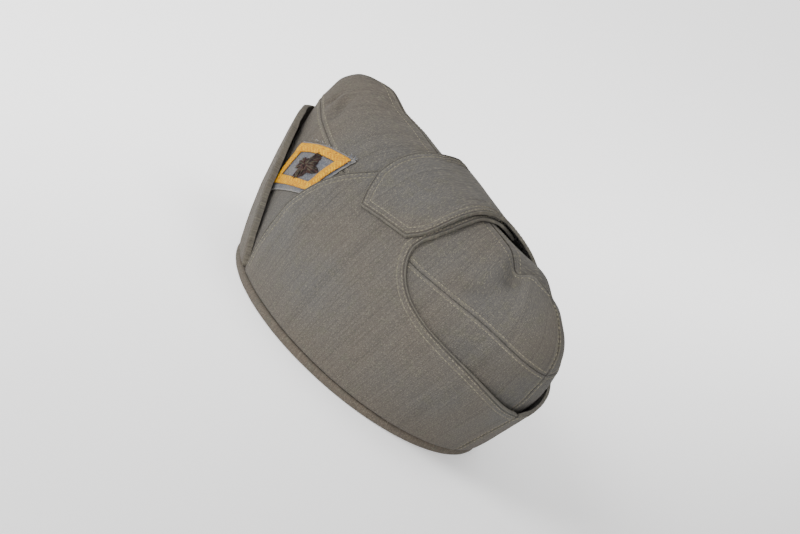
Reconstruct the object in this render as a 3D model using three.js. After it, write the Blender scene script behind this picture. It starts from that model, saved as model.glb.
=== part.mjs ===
import * as THREE from "three";

// A folding side cap of grey-green cloth with turned-up flaps, in millimetres.
// The origin lies on the resting plane below the middle of the whole cap, +Z is up, the
// front of the cap looks toward -Y and the wearer's left side is +X.

// The front reaches farther past the rim than the back, so the rim sits back by this much
const RIM_SHIFT = 7.7;

// Rim
const RIM_HALF_LENGTH = 103;
const RIM_HALF_WIDTH = 81;
const RIM_HEIGHT = 6;
const RIM_STEPS = 80;

// Cloth and the gaps between the pieces
const CROWN_CLOTH = 2;
const FLAP_CLOTH = 2.2;
const VISOR_CLOTH = 2.4;
const PATCH_CLOTH = 0.8;
const BRAID_CLOTH = 0.8;
const SEAM_GAP = 0.3;
const LAYER_GAP = 0.7;
const CREST_LIFT = 0.9;
const PATCH_GAP = 0.45;
const CROWN_FACE = CROWN_CLOTH / 2;

// Roof shape: how full the sides stay before they close at the crest
const ROOF_POWER = 2.6;
const ROOF_ROUND = 0.667;
const CREST_ROUND = 0.25;
const ROW_CROWDING = 1.75;

// A table has named columns and one row for each section, edge point or fold.
function table(names, rows) {
  const keys = names.split(" ");
  return rows.map((row) => Object.fromEntries(keys.map((key, index) => [key, row[index]])));
}

// Side view of the cap: back and front line at each share of the height
const PROFILE = table("up back front", [
  [0.0, RIM_HALF_LENGTH, -RIM_HALF_LENGTH],
  [0.17, 111, -111],
  [0.3, 117, -117.5],
  [0.42, 121.5, -123],
  [0.56, 125.5, -130],
  [0.68, 126.5, -135.5],
  [0.78, 125, -138.5],
  [0.86, 120.5, -138.5],
  [0.93, 112, -133],
  [0.97, 104, -125],
  [1.0, 93, -109],
]);

// Crest from the back (0) to the front (1): height and sideways drift
const CREST = table("along height drift", [
  [0.0, 119.5, 0],
  [0.12, 121, 3],
  [0.2, 121.8, 4],
  [0.28, 122.3, 3],
  [0.45, 124, 0],
  [0.65, 126, -3],
  [0.8, 127.6, -5],
  [0.86, 127.8, -5],
  [0.91, 129.8, -5],
  [0.96, 132.5, -4],
  [1.0, 131, -3],
]);

// Height of the side seam around the crown, in degrees from the back to the front
const SIDE_SEAM = table("around up", [
  [0, 0.7],
  [20, 0.722],
  [40, 0.742],
  [55, 0.73],
  [75, 0.71],
  [100, 0.72],
  [122, 0.74],
  [145, 0.76],
  [180, 0.745],
]);

// Dents and soft folds of the crown: side 1 left, -1 right, 0 both; spans are half widths
const DENTS = table("side around up spanAround spanUp depth", [
  [0, 41, 1.0, 6, 0.11, 7.5],
  [1, 47, 0.86, 13, 0.06, 2.2],
  [1, 33, 0.88, 8, 0.07, -1.2],
  [1, 150, 0.9, 9, 0.06, 1.6],
  [1, 30, 0.6, 22, 0.05, 1.5],
]);

// Free edge of the left flap from its front corner over the crest and down to the back
// seam. Each row is a line of cloth from the rim (bottom) past its middle to the edge
// (top, up); a height above 1 lies on the other side of the crest.
const LEFT_FLAP = table("bottom middle top up corner", [
  [117, 111.8, 86, 1.07, 1],
  [109.5, 103.8, 80, 1.08, 0],
  [102, 96.3, 74, 1.08, 0],
  [95, 89, 68, 1.06, 1],
  [93.5, 88, 68, 1.03, 0],
  [92, 87, 68.1, 1.0, 0],
  [90.5, 86, 68.6, 0.965, 0],
  [88.5, 84.8, 69.5, 0.92, 0],
  [86, 83, 71.2, 0.865, 0],
  [82, 80.3, 73, 0.805, 0],
  [77.5, 77, 73.2, 0.765, 0],
  [74, 73.7, 72.2, 0.725, 0],
  [70.5, 70.3, 70.2, 0.686, 0],
  [67, 66.9, 66.8, 0.644, 0],
  [61.5, 61.5, 61.5, 0.602, 0],
  [53, 53, 53, 0.57, 0],
  [43, 43, 43, 0.553, 0],
  [32, 32, 32, 0.538, 0],
  [20, 20, 20, 0.51, 0],
  [9, 9, 9, 0.478, 0],
  [0, 0, 0, 0.464, 1],
]);

// The right flap passes over the crest on top of the left one and ends in a point there.
const RIGHT_FLAP = table("bottom middle top up corner", [
  [119, 107, 99.3, 1.18, 1],
  [106, 99, 93.6, 1.302, 1],
  [95, 88, 85.2, 1.272, 0],
  [86, 79, 76.8, 1.245, 1],
  [83, 75, 73.6, 1.18, 0],
  [80, 72, 71.6, 1.11, 0],
  [77, 69, 70, 1.03, 0],
  [74, 66, 67, 0.97, 0],
  [70, 62.5, 61.5, 0.925, 0],
  [66, 59.5, 56, 0.88, 0],
  [61.5, 56.5, 53, 0.83, 0],
  [57, 54, 51.8, 0.785, 0],
  [52.5, 51, 50.3, 0.735, 0],
  [47.5, 47, 46.8, 0.685, 0],
  [41, 41, 41, 0.635, 0],
  [32.5, 32.5, 32.5, 0.585, 0],
  [22, 22, 22, 0.54, 0],
  [10.5, 10.5, 10.5, 0.49, 0],
  [0, 0, 0, 0.464, 1],
]);

// Edge of the upturned front, from its lower left corner to the middle of its top
const VISOR = table("bottom middle top up corner", [
  [119.8, 125, 142, 0.645, 1],
  [125, 130, 146, 0.67, 0],
  [132, 138, 152, 0.7, 0],
  [144, 149, 160, 0.71, 0],
  [161, 164, 170, 0.715, 0],
  [180, 180, 180, 0.717, 1],
]);

// Corners of the cloth patch on the left of the crown
const PATCH_CORNERS = table("around up", [
  [133.5, 0.33],
  [112.3, 0.5],
  [109.2, 0.79],
  [132.5, 0.68],
]);
const BRAID_OUTER = 0.09;
const BRAID_INNER = 0.27;
const MOTIF_RADIUS = 0.165;

const DEGREE = Math.PI / 180;

function mix(a, b, share) {
  return a + (b - a) * share;
}

function ease(from, to, value) {
  const share = Math.min(Math.max((value - from) / (to - from), 0), 1);
  return share * share * (3 - 2 * share);
}

// Smooth curve through one column of a table that never swings past its rows
function curve(rows, key, column) {
  const at = rows.map((row) => row[key]);
  const value = rows.map((row) => row[column]);
  const last = rows.length - 1;
  const rise = [];
  for (let i = 0; i < last; i++) {
    rise.push((value[i + 1] - value[i]) / (at[i + 1] - at[i]));
  }
  const slope = value.map((_, i) => {
    if (i === 0) {
      return rise[0];
    }
    if (i === last) {
      return rise[last - 1];
    }
    if (rise[i - 1] * rise[i] <= 0) {
      return 0;
    }
    return (2 * rise[i - 1] * rise[i]) / (rise[i - 1] + rise[i]);
  });
  return (x) => {
    const place = Math.min(Math.max(x, at[0]), at[last]);
    let i = 0;
    while (i < last - 1 && place > at[i + 1]) {
      i += 1;
    }
    const width = at[i + 1] - at[i];
    const t = (place - at[i]) / width;
    const h00 = (1 + 2 * t) * (1 - t) * (1 - t);
    const h10 = t * (1 - t) * (1 - t);
    const h01 = t * t * (3 - 2 * t);
    const h11 = t * t * (t - 1);
    return h00 * value[i] + h10 * width * slope[i] + h01 * value[i + 1] + h11 * width * slope[i + 1];
  };
}

const backLine = curve(PROFILE, "up", "back");
const frontLine = curve(PROFILE, "up", "front");
const crestHeight = curve(CREST, "along", "height");
const crestDrift = curve(CREST, "along", "drift");
const seamHeight = curve(SIDE_SEAM, "around", "up");

// A place on the crown: side, degrees around from the back, share of the height.
// Places past the mid plane or past the crest carry on over the other side.
function fold(side, around, up) {
  let place = { side, around, up };
  if (place.up > 1) {
    place = { side: -place.side, around: place.around, up: 2 - place.up };
  }
  if (place.around < 0) {
    place = { side: -place.side, around: -place.around, up: place.up };
  }
  if (place.around > 180) {
    place = { side: -place.side, around: 360 - place.around, up: place.up };
  }
  return place;
}

function crownPoint(side, around, up) {
  const place = fold(side, around, up);
  const along = (1 - Math.cos(place.around * DEGREE)) / 2;
  const open = 1 - Math.max(place.up, 0) ** ROOF_POWER;
  const width = Math.sqrt((open ** (2 * ROOF_ROUND) + CREST_ROUND * open) / (1 + CREST_ROUND));
  const drift = crestDrift(along) * Math.max(place.up, 0) ** 3;
  const x = place.side * RIM_HALF_WIDTH * Math.sin(place.around * DEGREE) * width + drift;
  const y = mix(backLine(place.up), frontLine(place.up), along) + RIM_SHIFT;
  return new THREE.Vector3(x, y, crestHeight(along) * place.up);
}

// Rows of a sheet lie closer together near the crest, where the cloth turns over
function fromTurn(turn) {
  return 1 - Math.sign(1 - turn) * Math.abs(1 - turn) ** ROW_CROWDING;
}

function toTurn(up) {
  return 1 - Math.sign(1 - up) * Math.abs(1 - up) ** (1 / ROW_CROWDING);
}

function mixUp(low, high, share) {
  return fromTurn(mix(toTurn(low), toTurn(high), share));
}

function crownNormal(side, around, up) {
  const stepAround = 0.4;
  const stepUp = 0.004;
  const place = fold(side, around, up);
  const low = Math.max(place.up - stepUp, 0);
  const along = crownPoint(place.side, place.around + stepAround, place.up);
  along.sub(crownPoint(place.side, place.around - stepAround, place.up));
  const upward = crownPoint(place.side, place.around, place.up + stepUp);
  upward.sub(crownPoint(place.side, place.around, low));
  const normal = upward.cross(along).multiplyScalar(place.side);
  normal.z *= ease(0.03, 0.16, place.up);
  return normal.normalize();
}

function dentDepth(side, around, up) {
  const place = fold(side, around, up);
  let depth = 0;
  for (const dent of DENTS) {
    if (dent.side !== 0 && dent.side !== place.side) {
      continue;
    }
    const a = (place.around - dent.around) / dent.spanAround;
    const b = (place.up - dent.up) / dent.spanUp;
    depth += dent.depth * Math.exp(-a * a - b * b);
  }
  return depth;
}

// A point at a distance outside the crown's middle surface
function onCrown(side, around, up, distance) {
  const point = crownPoint(side, around, up);
  const normal = crownNormal(side, around, up);
  return point.addScaledVector(normal, distance - dentDepth(side, around, up));
}

// Height share at which a piece stands on the rim
function baseUp(around) {
  const along = (1 - Math.cos(around * DEGREE)) / 2;
  return (RIM_HEIGHT + SEAM_GAP) / crestHeight(along);
}

// Cloth
const TWILL = { color: 0x77766c, roughness: 0.95, metalness: 0 };
const TWILL_WORN = { color: 0x7a7468, roughness: 0.95, metalness: 0 };
const TWILL_RIM = { color: 0x6f6a5e, roughness: 0.95, metalness: 0 };
const PATCH_BLUE = { color: 0x8a8c90, roughness: 0.95, metalness: 0 };
const BRAID_YELLOW = { color: 0xd0a03c, roughness: 0.75, metalness: 0 };
const MOTIF_BROWN = { color: 0x56443f, roughness: 0.8, metalness: 0 };

function meshFrom(name, points, triangles, look) {
  const corners = new Float32Array(triangles.length * 9);
  let volume = 0;
  for (const [a, b, c] of triangles) {
    volume += points[a].dot(new THREE.Vector3().crossVectors(points[b], points[c]));
  }
  triangles.forEach(([a, b, c], index) => {
    const order = volume < 0 ? [a, c, b] : [a, b, c];
    order.forEach((corner, k) => {
      corners[index * 9 + k * 3] = points[corner].x;
      corners[index * 9 + k * 3 + 1] = points[corner].y;
      corners[index * 9 + k * 3 + 2] = points[corner].z;
    });
  });
  const geometry = new THREE.BufferGeometry();
  geometry.setAttribute("position", new THREE.BufferAttribute(corners, 3));
  geometry.computeVertexNormals();
  const mesh = new THREE.Mesh(geometry, new THREE.MeshStandardMaterial(look));
  mesh.name = name;
  return mesh;
}

// A thick sheet from a grid of inner and outer points; a ring closes on itself lengthwise
function sheet(name, columns, rows, locate, look, ring = false) {
  const points = [];
  const lines = ring ? columns : columns + 1;
  for (let i = 0; i < lines; i++) {
    for (let j = 0; j <= rows; j++) {
      const pair = locate(i / columns, j / rows);
      points.push(pair[0], pair[1]);
    }
  }
  const at = (i, j, face) => ((i % lines) * (rows + 1) + j) * 2 + face;
  const triangles = [];
  const quad = (a, b, c, d) => {
    triangles.push([a, b, c]);
    triangles.push([a, c, d]);
  };
  for (let i = 0; i < columns; i++) {
    for (let j = 0; j < rows; j++) {
      quad(at(i, j, 1), at(i + 1, j, 1), at(i + 1, j + 1, 1), at(i, j + 1, 1));
      quad(at(i, j, 0), at(i, j + 1, 0), at(i + 1, j + 1, 0), at(i + 1, j, 0));
    }
    quad(at(i, 0, 0), at(i + 1, 0, 0), at(i + 1, 0, 1), at(i, 0, 1));
    quad(at(i, rows, 1), at(i + 1, rows, 1), at(i + 1, rows, 0), at(i, rows, 0));
  }
  if (!ring) {
    for (let j = 0; j < rows; j++) {
      quad(at(0, j, 0), at(0, j, 1), at(0, j + 1, 1), at(0, j + 1, 0));
      quad(at(columns, j, 1), at(columns, j, 0), at(columns, j + 1, 0), at(columns, j + 1, 1));
    }
  }
  return meshFrom(name, points, triangles, look);
}

// Crown panels: one side of the crown between two heights
function crownPanel(name, side, columns, rows, low, high, look) {
  return sheet(
    name,
    columns,
    rows,
    (u, v) => {
      const around = 180 * u;
      const up = mixUp(low(around), high(around), v);
      const pair = [-CROWN_FACE, CROWN_FACE].map((distance) => onCrown(side, around, up, distance));
      pair.forEach((point) => {
        point.x += (side * SEAM_GAP) / 2;
      });
      return pair;
    },
    look,
  );
}

// Lines of cloth of a flap: smooth between rows, sharp where a row is marked as a corner
function flapLines(rows) {
  const pieces = [];
  let start = 0;
  rows.forEach((row, index) => {
    if (index > start && row.corner === 1) {
      const part = rows.slice(start, index + 1).map((entry, k) => ({ ...entry, step: start + k }));
      pieces.push({ from: start, to: index, part });
      start = index;
    }
  });
  const curves = pieces.map(({ from, to, part }) => ({
    from,
    to,
    bottom: curve(part, "step", "bottom"),
    middle: curve(part, "step", "middle"),
    top: curve(part, "step", "top"),
    up: curve(part, "step", "up"),
  }));
  return (u, v) => {
    const step = u * (rows.length - 1);
    const piece = curves.find((entry) => step <= entry.to + 1e-9);
    const bottom = piece.bottom(step);
    const middle = piece.middle(step);
    const top = piece.top(step);
    const bend = 2 * (bottom + top) - 4 * middle;
    const low = baseUp(bottom);
    const up = mixUp(low, piece.up(step), v);
    const share = (up - low) / (piece.up(step) - low);
    const around = bottom + (top - bottom - bend) * share + bend * share * share;
    return { around, up };
  };
}

const leftLines = flapLines(LEFT_FLAP);
const rightLines = flapLines(RIGHT_FLAP);
const visorLines = flapLines(VISOR);

// How far the inside of each flap stands outside the crown's middle surface
const FIRST_LAYER = CROWN_FACE + LAYER_GAP;
const SECOND_LAYER = FIRST_LAYER + FLAP_CLOTH + LAYER_GAP;

function leftStand(around, up, v) {
  const back = 3.2 * (1 - ease(15, 62, around)) * v * v;
  const overPatch = 2.5 * ease(101, 106.5, around) * ease(0.34, 0.46, up) * (1 - ease(0.8, 0.9, up));
  return FIRST_LAYER + back + overPatch + CREST_LIFT * ease(0.8, 0.95, up);
}

function rightStand(around, up, v) {
  const back = 3.2 * (1 - ease(0, 36, around)) * v * v;
  const over = mix(FIRST_LAYER + back, SECOND_LAYER, ease(0.66, 0.87, up) * ease(50, 65, around));
  return over + 2 * CREST_LIFT * ease(0.8, 0.95, up) * (1 - ease(1.08, 1.2, up));
}

function visorStand(edge, v) {
  return FIRST_LAYER + mix(4.5, 8.2, edge) * (1 - (1 - v) ** 2);
}

const parts = new THREE.Group();

// Rim: a rolled edge with a flat underside on which the cap rests
const RIM_SECTION = table("out height", [
  [-0.4, 0],
  [3.4, 0],
  [4.2, 0.9],
  [4.5, 2.8],
  [4.2, 4.9],
  [3.4, RIM_HEIGHT],
  [-0.4, RIM_HEIGHT],
  [-1, 5.2],
  [-1, 0.8],
]);

function rimBand() {
  const points = [];
  for (let i = 0; i < RIM_STEPS; i++) {
    const around = (360 * i) / RIM_STEPS;
    const flat = crownPoint(1, around, 0);
    const normal = crownNormal(1, around, 0);
    for (const corner of RIM_SECTION) {
      const point = flat.clone().addScaledVector(normal, corner.out);
      point.z = corner.height;
      points.push(point);
    }
  }
  const size = RIM_SECTION.length;
  const triangles = [];
  for (let i = 0; i < RIM_STEPS; i++) {
    for (let k = 0; k < size; k++) {
      const a = i * size + k;
      const b = ((i + 1) % RIM_STEPS) * size + k;
      const c = ((i + 1) % RIM_STEPS) * size + ((k + 1) % size);
      const d = i * size + ((k + 1) % size);
      triangles.push([a, b, c]);
      triangles.push([a, c, d]);
    }
  }
  return meshFrom("rim_band", points, triangles, TWILL_RIM);
}

parts.add(rimBand());

// Crown: two lower and two upper panels that meet at the side seams and the centre seam
const seamHalf = (0.75 * SEAM_GAP) / 125;
const seamBelow = (around) => seamHeight(around) - seamHalf;
const seamAbove = (around) => seamHeight(around) + seamHalf;
const crest = () => 1;
parts.add(crownPanel("crown_lower_left", 1, 28, 5, baseUp, seamBelow, TWILL));
parts.add(crownPanel("crown_lower_right", -1, 28, 5, baseUp, seamBelow, TWILL));
parts.add(crownPanel("crown_upper_left", 1, 30, 9, seamAbove, crest, TWILL_WORN));
parts.add(crownPanel("crown_upper_right", -1, 30, 9, seamAbove, crest, TWILL_WORN));

// Flaps: each is one sheet from the rim to its free edge
function flap(name, side, columns, rows, lines, stand, thickness, look) {
  return sheet(
    name,
    columns,
    rows,
    (u, v) => {
      const { around, up } = lines(u, v);
      const inside = stand(around, up, v);
      const pair = [inside, inside + thickness].map((distance) => onCrown(side, around, up, distance));
      const backGap = (side * SEAM_GAP * (1 - ease(0, 8, around))) / 2;
      pair.forEach((point) => {
        point.x += backGap;
      });
      return pair;
    },
    look,
  );
}

parts.add(flap("flap_left", 1, 40, 12, leftLines, leftStand, FLAP_CLOTH, TWILL));
parts.add(flap("flap_right", -1, 36, 17, rightLines, rightStand, FLAP_CLOTH, TWILL));

// Upturned front: its left half is mirrored about the mid plane
function visorPair(u, v) {
  const left = u <= 0.5;
  const half = left ? 2 * u : 2 - 2 * u;
  const { around, up } = visorLines(half, v);
  const inside = visorStand(1 - ease(0, 0.5, half), v);
  const side = left ? 1 : -1;
  return [inside, inside + VISOR_CLOTH].map((distance) => onCrown(side, around, up, distance));
}

parts.add(sheet("visor", 20, 9, visorPair, TWILL));

// Patch with its braid frame and a small crumpled embroidery in the middle
const PATCH_INSIDE = CROWN_FACE + PATCH_GAP;
const BRAID_INSIDE = PATCH_INSIDE + PATCH_CLOTH + SEAM_GAP;

function patchPlace(u, v, distance) {
  const [lowFront, lowBack, highBack, highFront] = PATCH_CORNERS;
  const around = mix(mix(lowFront.around, lowBack.around, u), mix(highFront.around, highBack.around, u), v);
  const up = mix(mix(lowFront.up, lowBack.up, u), mix(highFront.up, highBack.up, u), v);
  return onCrown(1, around, up, distance);
}

parts.add(
  sheet(
    "badge_cloth",
    8,
    8,
    (u, v) => [PATCH_INSIDE, PATCH_INSIDE + PATCH_CLOTH].map((distance) => patchPlace(u, v, distance)),
    PATCH_BLUE,
  ),
);

function squareWalk(u, inset) {
  const walk = (u * 4) % 4;
  const side = Math.floor(walk);
  const t = walk - side;
  const low = inset;
  const high = 1 - inset;
  const corners = [
    [low, low],
    [high, low],
    [high, high],
    [low, high],
  ];
  const a = corners[side];
  const b = corners[(side + 1) % 4];
  return [mix(a[0], b[0], t), mix(a[1], b[1], t)];
}

parts.add(
  sheet(
    "badge_braid",
    24,
    2,
    (u, v) => {
      const [a, b] = squareWalk(u, mix(BRAID_OUTER, BRAID_INNER, v));
      return [BRAID_INSIDE, BRAID_INSIDE + BRAID_CLOTH].map((distance) => patchPlace(a, b, distance));
    },
    BRAID_YELLOW,
    true,
  ),
);

const MOTIF_LOBES = 5;
const MOTIF_HEIGHT = 2.2;

function motif() {
  const spokes = 30;
  const rings = 4;
  const points = [patchPlace(0.5, 0.5, BRAID_INSIDE), patchPlace(0.5, 0.5, BRAID_INSIDE + MOTIF_HEIGHT)];
  for (let r = 1; r <= rings; r++) {
    for (let s = 0; s < spokes; s++) {
      const turn = (2 * Math.PI * s) / spokes;
      const lobe = 1 + 0.32 * Math.cos(MOTIF_LOBES * turn);
      const reach = (MOTIF_RADIUS * lobe * r) / rings;
      const share = r / rings;
      const rise = MOTIF_HEIGHT * (1 - 0.75 * share * share) + 0.3 * Math.cos(MOTIF_LOBES * turn) * share * (1 - share) * 4;
      const u = 0.5 + reach * Math.cos(turn);
      const v = 0.5 + reach * Math.sin(turn);
      points.push(patchPlace(u, v, BRAID_INSIDE));
      points.push(patchPlace(u, v, BRAID_INSIDE + rise));
    }
  }
  const at = (r, s, face) => (r === 0 ? face : 2 + ((r - 1) * spokes + (s % spokes)) * 2 + face);
  const triangles = [];
  for (let s = 0; s < spokes; s++) {
    triangles.push([at(0, 0, 1), at(1, s, 1), at(1, s + 1, 1)]);
    triangles.push([at(0, 0, 0), at(1, s + 1, 0), at(1, s, 0)]);
    for (let r = 1; r < rings; r++) {
      triangles.push([at(r, s, 1), at(r + 1, s, 1), at(r + 1, s + 1, 1)]);
      triangles.push([at(r, s, 1), at(r + 1, s + 1, 1), at(r, s + 1, 1)]);
      triangles.push([at(r, s, 0), at(r + 1, s + 1, 0), at(r + 1, s, 0)]);
      triangles.push([at(r, s, 0), at(r, s + 1, 0), at(r + 1, s + 1, 0)]);
    }
    triangles.push([at(rings, s, 1), at(rings, s, 0), at(rings, s + 1, 0)]);
    triangles.push([at(rings, s, 1), at(rings, s + 1, 0), at(rings, s + 1, 1)]);
  }
  return meshFrom("badge_motif", points, triangles, MOTIF_BROWN);
}

parts.add(motif());

export default parts;
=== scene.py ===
import math

import bpy
import numpy as np
from mathutils import Matrix, Vector, noise
from mathutils.bvhtree import BVHTree


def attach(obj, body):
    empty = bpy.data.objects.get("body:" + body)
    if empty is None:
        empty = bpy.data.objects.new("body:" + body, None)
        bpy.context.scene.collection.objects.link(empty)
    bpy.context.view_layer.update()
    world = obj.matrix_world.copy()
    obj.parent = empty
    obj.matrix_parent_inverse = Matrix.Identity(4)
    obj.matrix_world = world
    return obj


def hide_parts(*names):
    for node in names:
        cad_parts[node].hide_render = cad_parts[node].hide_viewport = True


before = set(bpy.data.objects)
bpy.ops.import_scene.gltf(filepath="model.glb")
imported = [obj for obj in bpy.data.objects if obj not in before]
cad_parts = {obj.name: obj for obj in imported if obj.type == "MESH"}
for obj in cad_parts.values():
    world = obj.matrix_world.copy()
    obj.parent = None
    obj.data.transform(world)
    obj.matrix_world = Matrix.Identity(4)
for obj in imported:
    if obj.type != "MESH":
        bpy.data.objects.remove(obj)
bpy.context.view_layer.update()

# Sizes in millimetres, as in the part's source; the meshes are in metres
MM = 0.001
RIM_SHIFT = 7.7
RIM_HALF_LENGTH = 103
RIM_HALF_WIDTH = 81
RIM_HEIGHT = 6
CROWN_CLOTH = 2
FLAP_CLOTH = 2.2
VISOR_CLOTH = 2.4
PATCH_CLOTH = 0.8
BRAID_CLOTH = 0.8
SEAM_GAP = 0.3
LAYER_GAP = 0.7
CREST_LIFT = 0.9
PATCH_GAP = 0.45
CROWN_FACE = CROWN_CLOTH / 2
ROOF_POWER = 2.6
ROOF_ROUND = 0.667
CREST_ROUND = 0.25
ROW_CROWDING = 1.75
FIRST_LAYER = CROWN_FACE + LAYER_GAP
SECOND_LAYER = FIRST_LAYER + FLAP_CLOTH + LAYER_GAP
PATCH_INSIDE = CROWN_FACE + PATCH_GAP
BRAID_INSIDE = PATCH_INSIDE + PATCH_CLOTH + SEAM_GAP

# Steps over which the crown's slope is measured: degrees round it, and a share of its height
SLOPE_TURN = 0.4
SLOPE_UP = 0.004

# Lengths on the cloth: a degree round the crown on the pattern, in the folds and at the back,
# and the way up from the rim to the crest
CHART_DEGREE = 1.75
FOLD_DEGREE = 1.7
BACK_DEGREE = 1.9
CLOTH_UP = 125

# Unevenness of the cloth: how long its waves are, where their pattern starts and how high
# they are. The patch's and the braid's heights are shares of the patch
BROAD_WAVES = (34, 3.1, 0.75)
SMALL_WAVES = (14, 8.7, 0.3)
PUCKER_WAVES = (5.5, 21.0, 1)
RIM_WAVES = (9, 4.0, 0.22)
PATCH_WAVES = (2.2, 5.0, 0.012)
BRAID_WAVES = (4.0, 2.0, 0.007)

# Ridges and grooves along sewn lines and free edges: distance from the line, half width
# and height
EDGE_LINE = 1.1
SEAM_RELIEF = ((0, 0.7, -0.5), (1.8, 1.2, 0.22))
EDGE_RELIEF = ((3.9, 1.1, 0.3), (EDGE_LINE, 0.5, -0.25))
FOOT_CREASE = (0, 1.2, -0.5)
SEAM_PUCKER = (0, 6, 0.3)
EDGE_PUCKER = (0, 7, 0.3)

# Rows of stitches: distances from a free edge and from a seam, how far apart the stitches
# are, and a stitch's sizes, half its reach, its sway in radians and its lift off the cloth
EDGE_ROWS = (2.4, 5.4)
SEAM_ROW = 2.2
STITCH_PITCH = 2.7
STITCH_SIZE = (2.0, 0.46, 0.34)
STITCH_REACH = 0.9
STITCH_SWAY = 0.09
STITCH_LIFT = 0.04

# Grids: how far apart their lines are, and how they crowd beside a border, but for the
# shortest edges
PANEL_STEP = 2.6
FLAP_STEPS = (2.4, 2.3)
VISOR_STEPS = (2.4, 2.5)
BORDER_STATIONS = (0.5, 1.1, 1.8, 2.7, 3.9)
BORDER_REACH = 5.6
SHORT_EDGE = 14

# A distance that counts as far from every edge and seam
FAR = 60.0

RANDOM = np.random.default_rng(11)


def table(names, *rows):
    return dict(zip(names.split(), (np.array(column) for column in zip(*rows))))


PROFILE = table(
    "up back front",
    (0.0, RIM_HALF_LENGTH, -RIM_HALF_LENGTH),
    (0.17, 111, -111),
    (0.3, 117, -117.5),
    (0.42, 121.5, -123),
    (0.56, 125.5, -130),
    (0.68, 126.5, -135.5),
    (0.78, 125, -138.5),
    (0.86, 120.5, -138.5),
    (0.93, 112, -133),
    (0.97, 104, -125),
    (1.0, 93, -109),
)
CREST = table(
    "along height drift",
    (0.0, 119.5, 0),
    (0.12, 121, 3),
    (0.2, 121.8, 4),
    (0.28, 122.3, 3),
    (0.45, 124, 0),
    (0.65, 126, -3),
    (0.8, 127.6, -5),
    (0.86, 127.8, -5),
    (0.91, 129.8, -5),
    (0.96, 132.5, -4),
    (1.0, 131, -3),
)
SIDE_SEAM = table(
    "around up",
    (0, 0.7),
    (20, 0.722),
    (40, 0.742),
    (55, 0.73),
    (75, 0.71),
    (100, 0.72),
    (122, 0.74),
    (145, 0.76),
    (180, 0.745),
)
DENTS = table(
    "side around up spanAround spanUp depth",
    (0, 41, 1.0, 6, 0.11, 7.5),
    (1, 47, 0.86, 13, 0.06, 2.2),
    (1, 33, 0.88, 8, 0.07, -1.2),
    (1, 150, 0.9, 9, 0.06, 1.6),
    (1, 30, 0.6, 22, 0.05, 1.5),
)
LEFT_FLAP = table(
    "bottom middle top up corner",
    (117, 111.8, 86, 1.07, 1),
    (109.5, 103.8, 80, 1.08, 0),
    (102, 96.3, 74, 1.08, 0),
    (95, 89, 68, 1.06, 1),
    (93.5, 88, 68, 1.03, 0),
    (92, 87, 68.1, 1.0, 0),
    (90.5, 86, 68.6, 0.965, 0),
    (88.5, 84.8, 69.5, 0.92, 0),
    (86, 83, 71.2, 0.865, 0),
    (82, 80.3, 73, 0.805, 0),
    (77.5, 77, 73.2, 0.765, 0),
    (74, 73.7, 72.2, 0.725, 0),
    (70.5, 70.3, 70.2, 0.686, 0),
    (67, 66.9, 66.8, 0.644, 0),
    (61.5, 61.5, 61.5, 0.602, 0),
    (53, 53, 53, 0.57, 0),
    (43, 43, 43, 0.553, 0),
    (32, 32, 32, 0.538, 0),
    (20, 20, 20, 0.51, 0),
    (9, 9, 9, 0.478, 0),
    (0, 0, 0, 0.464, 1),
)
RIGHT_FLAP = table(
    "bottom middle top up corner",
    (119, 107, 99.3, 1.18, 1),
    (106, 99, 93.6, 1.302, 1),
    (95, 88, 85.2, 1.272, 0),
    (86, 79, 76.8, 1.245, 1),
    (83, 75, 73.6, 1.18, 0),
    (80, 72, 71.6, 1.11, 0),
    (77, 69, 70, 1.03, 0),
    (74, 66, 67, 0.97, 0),
    (70, 62.5, 61.5, 0.925, 0),
    (66, 59.5, 56, 0.88, 0),
    (61.5, 56.5, 53, 0.83, 0),
    (57, 54, 51.8, 0.785, 0),
    (52.5, 51, 50.3, 0.735, 0),
    (47.5, 47, 46.8, 0.685, 0),
    (41, 41, 41, 0.635, 0),
    (32.5, 32.5, 32.5, 0.585, 0),
    (22, 22, 22, 0.54, 0),
    (10.5, 10.5, 10.5, 0.49, 0),
    (0, 0, 0, 0.464, 1),
)
# The turned-up front, fitted a little further to the photograph than in the part's source
VISOR = table(
    "bottom middle top up corner",
    (119.8, 128, 142, 0.64, 1),
    (125, 132.5, 146, 0.658, 0),
    (132, 139, 152, 0.676, 0),
    (144, 149, 160, 0.682, 0),
    (161, 164, 170, 0.685, 0),
    (180, 180, 180, 0.686, 1),
)
PATCH_CORNERS = table("around up", (133.5, 0.33), (112.3, 0.5), (109.2, 0.79), (132.5, 0.68))

# The crown's panels: their length, and how far they reach past the middle, in degrees, and
# past the side seam, as a share of the crown's height
PANEL_LENGTH = 290
PANEL_LAP = 0.12
SEAM_LAP = 0.0022

# Extra room under the flaps, at the back and beside the patch, and under the turned-up front,
# at its middle and at its ends. Its edge rolls outwards, and its wall thickens to a hem
# between two distances from the edge
BACK_STAND = 3.2
PATCH_STAND = 2.5
VISOR_STAND = (3.4, 5.0)
VISOR_ROLL = 0.4
VISOR_HEM = 3.7
HEM_WIDTH = (3.5, 7.5)

# The rolled rim's section: a rounded square about a middle that lies outside the crown
RIM_MIDDLE = 1.7
RIM_REACH = 2.8
RIM_SQUARE = 0.72

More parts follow.
